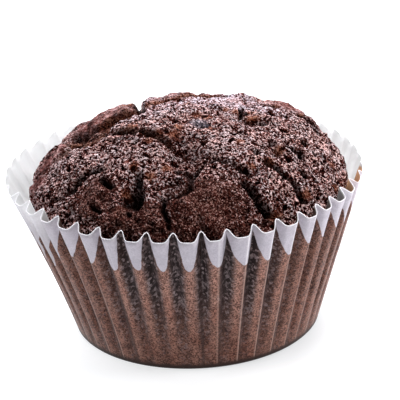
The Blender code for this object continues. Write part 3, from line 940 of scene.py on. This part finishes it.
def dome_relief(smooth):
    """Relief of the crust in millimetres, its sideways shift, and what its colour depends on, among it the
    painted shade in cracks and hollows.
    """
    at = ragged(smooth)
    raised = np.zeros(len(smooth))
    broken = np.zeros(len(smooth))
    dark = np.zeros(len(smooth))
    shift = np.zeros((len(smooth), 3))
    for height, reach, route in LEDGES.values():
        distance, side, left = nearest_on_route(at, route)
        high = height * np.exp(-distance / reach) * np.minimum(1, distance / LEDGE_FACE)
        low = -LEDGE_SAG * height * np.exp(-distance / SAG_REACH)
        raised += np.where(side > 0, high, low)
        lip = np.where(side > 0, np.exp(-((distance / LIP) ** 2)), 0.0)
        shift -= left * (OVERHANG * height * lip * MM)[:, None]
        broken = np.maximum(broken, np.exp(-((distance / LEDGE_TORN) ** 2)))
    crack = np.zeros(len(smooth))
    for front, behind, depth, route in CRACKS.values():
        distance, side, left = nearest_on_route(at, route)
        narrow = np.exp(-((distance / front) ** 4))
        wide = np.exp(-((distance / behind) ** 2))
        crack = np.maximum(crack, depth * np.where(side > 0, wide, narrow))
        # Painted shade inside the crack, reaching a way up the slope behind it
        shade = np.where(side > 0, min(front + SHADE_BEHIND * behind, SHADE_MOST), front)
        dark = np.maximum(dark, min(1.0, depth / DARK_CRACK) * np.exp(-((distance / shade) ** 4)))
        if behind > WIDE_CRACK:
            face = np.where(side > 0, np.exp(-((distance / behind) ** 4)), 0.0)
            broken = np.maximum(broken, face)
            dark = np.maximum(dark, FACE_SHADE * face)
    hollow = np.zeros(len(smooth))
    for x, y, half_width, half_length, depth in HOLLOWS.values():
        near = round_spot(at, x, y, half_width, half_length)
        hollow = np.maximum(hollow, depth * np.exp(-(near ** (2 * HOLLOW_STEEPNESS))))
        # Painted shade inside the hollow, set a little towards its back
        near = round_spot(at - PIT_SHADE_SHIFT, x, y, PIT_SHADE * half_width, PIT_SHADE * half_length)
        dark = np.maximum(dark, min(1.0, depth / (DARK_HOLLOW * half_width)) * np.exp(-(near**4)))
    for x, y, half_width, half_length, height in BULGES.values():
        raised += height * np.exp(-(round_spot(smooth, x, y, half_width, half_length) ** 2))
    for size, height in LUMPS:
        raised += height * field(lambda p: noise.noise(p / size), smooth)
    for x, y, radius in CHIPS:
        broken = np.maximum(broken, np.exp(-(round_spot(at, x, y, radius, radius) ** 4)))
    spots = []
    for places in (FINE, CRUST, MOIST_SHEEN_SPOTS):
        spots.append(np.max([np.exp(-(round_spot(at, *spot) ** 4)) for spot in places.values()], axis=0))
    return raised - crack - hollow, shift, broken, dark, *spots


def cake_side(turn, share, flutes, inset):
    return wall_point(turn, share, inset=inset, flutes=flutes, bulge=0.0)


def dome_place(x, y):
    """The smooth dome's points, and their places round it in pleats, for points of a square grid."""
    share = np.maximum(np.abs(x), np.abs(y))
    flat = np.abs(x) >= np.abs(y)
    with np.errstate(divide="ignore", invalid="ignore"):
        by_x = math.pi / 4 * np.nan_to_num(y / x) + np.where(x < 0, math.pi, 0.0)
        by_y = math.pi / 2 - math.pi / 4 * np.nan_to_num(x / y) + np.where(y < 0, math.pi, 0.0)
    turn = (np.where(flat, by_x, by_y) + math.pi / 4) * PLEATS / math.tau
    tilt = share * math.pi / 2
    foot = np.linalg.norm(cake_side(turn, FOOT_SHARE, FOOT_FLUTES, SOLID_INSET)[:, :2], axis=1)
    radius = DOME_RADIUS + (foot - DOME_RADIUS) * share**4
    height = DOME_FOOT + DOME_RISE * np.cos(tilt)
    return round_axis(radius * np.sin(tilt), turn_angle(turn), height), turn


def make_cake():
    """A square grid bent to the dome, whose edge is extruded down as the side and closed below."""
    builder = bmesh.new()
    bmesh.ops.create_grid(builder, x_segments=DOME_CELLS, y_segments=DOME_CELLS, size=1.0)
    add_layers(builder, "turn", "side")
    grid = np.array([v.co[:2] for v in builder.verts])
    smooth, turn = dome_place(grid[:, 0], grid[:, 1])
    write_layer(builder, "turn", turn)
    write_layer(builder, "side", np.full(len(turn), FOOT_SHARE))
    side_layer = builder.verts.layers.float["side"]
    for share in SIDE_SHARES:
        next_ring(builder, side_layer, share)
    next_ring(builder, side_layer, 0.0)
    count = len(turn)
    turn, side = read_layer(builder, "turn"), read_layer(builder, "side")
    to_flutes = np.clip((FOOT_SHARE - side[count:]) / (FOOT_SHARE - FULL_FLUTES), 0, 1)
    flutes = FOOT_FLUTES + (SIDE_FLUTES - FOOT_FLUTES) * to_flutes
    wall = cake_side(turn[count:], np.maximum(side[count:], SIDE_BOTTOM), flutes, SIDE_INSET)
    points = np.concatenate((smooth, wall))
    normals = np.concatenate((dome_normal(smooth), wall * (1, 1, 0)))
    normals[count:] /= np.linalg.norm(normals[count:], axis=1)[:, None]

    # The dome's relief fades out at its foot, and the crumb goes on down the side
    relief, shift, broken, sunken, fine, crust, cool = dome_relief(smooth)
    above = np.clip((smooth[:, 2] - DOME_FOOT) / FOOT_FADE, 0, 1)
    crumb = field(crumb_height, points)
    total = np.concatenate((relief * above, np.zeros(len(wall))))
    tall = (1 - FLATTER["fine"] * fine) * (1 - FLATTER["broken"] * broken) * (1 - FLATTER["crust"] * crust)
    total += crumb * np.concatenate((tall, np.full(len(wall), SIDE_RELIEF)))
    points = points + normals * (total * MM)[:, None]
    points[:count] += shift * above[:, None]
    place_verts(builder, points)
    # sunken carries the painted shade of cracks and hollows, cool the painted bluish sheen
    looks = {"broken": broken, "sunken": sunken, "fine": fine, "crust": crust, "cool": cool}
    looks = {name: np.concatenate((values, np.zeros(len(wall)))) for name, values in looks.items()}
    # How deep each point lies in a pore, for the painted shade in the pores
    looks["pore"] = np.clip(-(crumb + CRUMB_DOWN) / PORE_DARK, 0, 1)
    write_looks(builder, looks)
    drop_layers(builder, "turn", "side")
    bmesh.ops.edgeloop_fill(builder, edges=open_edges(builder))
    bmesh.ops.triangulate(builder, faces=[f for f in builder.faces if len(f.verts) > 4])
    bmesh.ops.recalc_face_normals(builder, faces=builder.faces)
    cake = add_piece("crumb_dome", builder, crumb_surface())
    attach(cake, "root")
    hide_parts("cake")


# ---------------------------------------------------------------- floor and light

FLOOR_RADIUS = 3.0  # metres
ROOM_LIGHT = 0.15
LAMPS_AIM = Vector((0, 0, 0.03))

# Lamps: place, width and depth in metres, power in watts and colour
LAMPS = {
    "white backdrop": ((-0.20, 0.90, 0.48), 1.7, 0.85, 34.0, (0.98, 0.96, 1.0)),
    "lamp above": ((-0.20, 0.35, 0.90), 0.20, 0.20, 4.0, (1.0, 0.96, 1.0)),
    "right side": ((0.75, -0.10, 0.60), 0.40, 0.40, 7.9, (1.0, 0.97, 0.97)),
    "behind on the right": ((0.75, 0.60, 0.30), 0.40, 0.40, 6.9, (1.0, 0.98, 1.0)),
    "left side": ((-0.85, 0.45, 0.35), 0.40, 0.40, 2.5, (0.94, 0.99, 1.0)),
}


def make_floor():
    builder = bmesh.new()
    bmesh.ops.create_circle(builder, cap_ends=True, radius=FLOOR_RADIUS, segments=64)
    floor = add_piece("floor", builder, floor_surface())


def soft_light(name, place, width, depth, power, colour):
    """A flat rectangular lamp aimed at the cake."""
    data = bpy.data.lights.new(name, "AREA")
    data.shape = "RECTANGLE"
    data.size = width
    data.size_y = depth
    data.energy = power
    data.color = colour
    lamp = bpy.data.objects.new(name, data)
    lamp.location = place
    aim = LAMPS_AIM - Vector(place)
    lamp.rotation_euler = aim.to_track_quat("-Z", "Y").to_euler()
    bpy.context.scene.collection.objects.link(lamp)


def make_light():
    world = bpy.data.worlds.new("soft white room")
    world.use_nodes = True
    world.node_tree.nodes["Background"].inputs["Color"].default_value = (1.0, 1.0, 1.0, 1.0)
    world.node_tree.nodes["Background"].inputs["Strength"].default_value = ROOM_LIGHT
    bpy.context.scene.world = world
    for name, lamp in LAMPS.items():
        soft_light(name, *lamp)
    bpy.context.scene.view_settings.view_transform = "Standard"


noise.seed_set(WANDER_SEED)
make_camera()
make_floor()
make_light()
make_case()
make_cake()
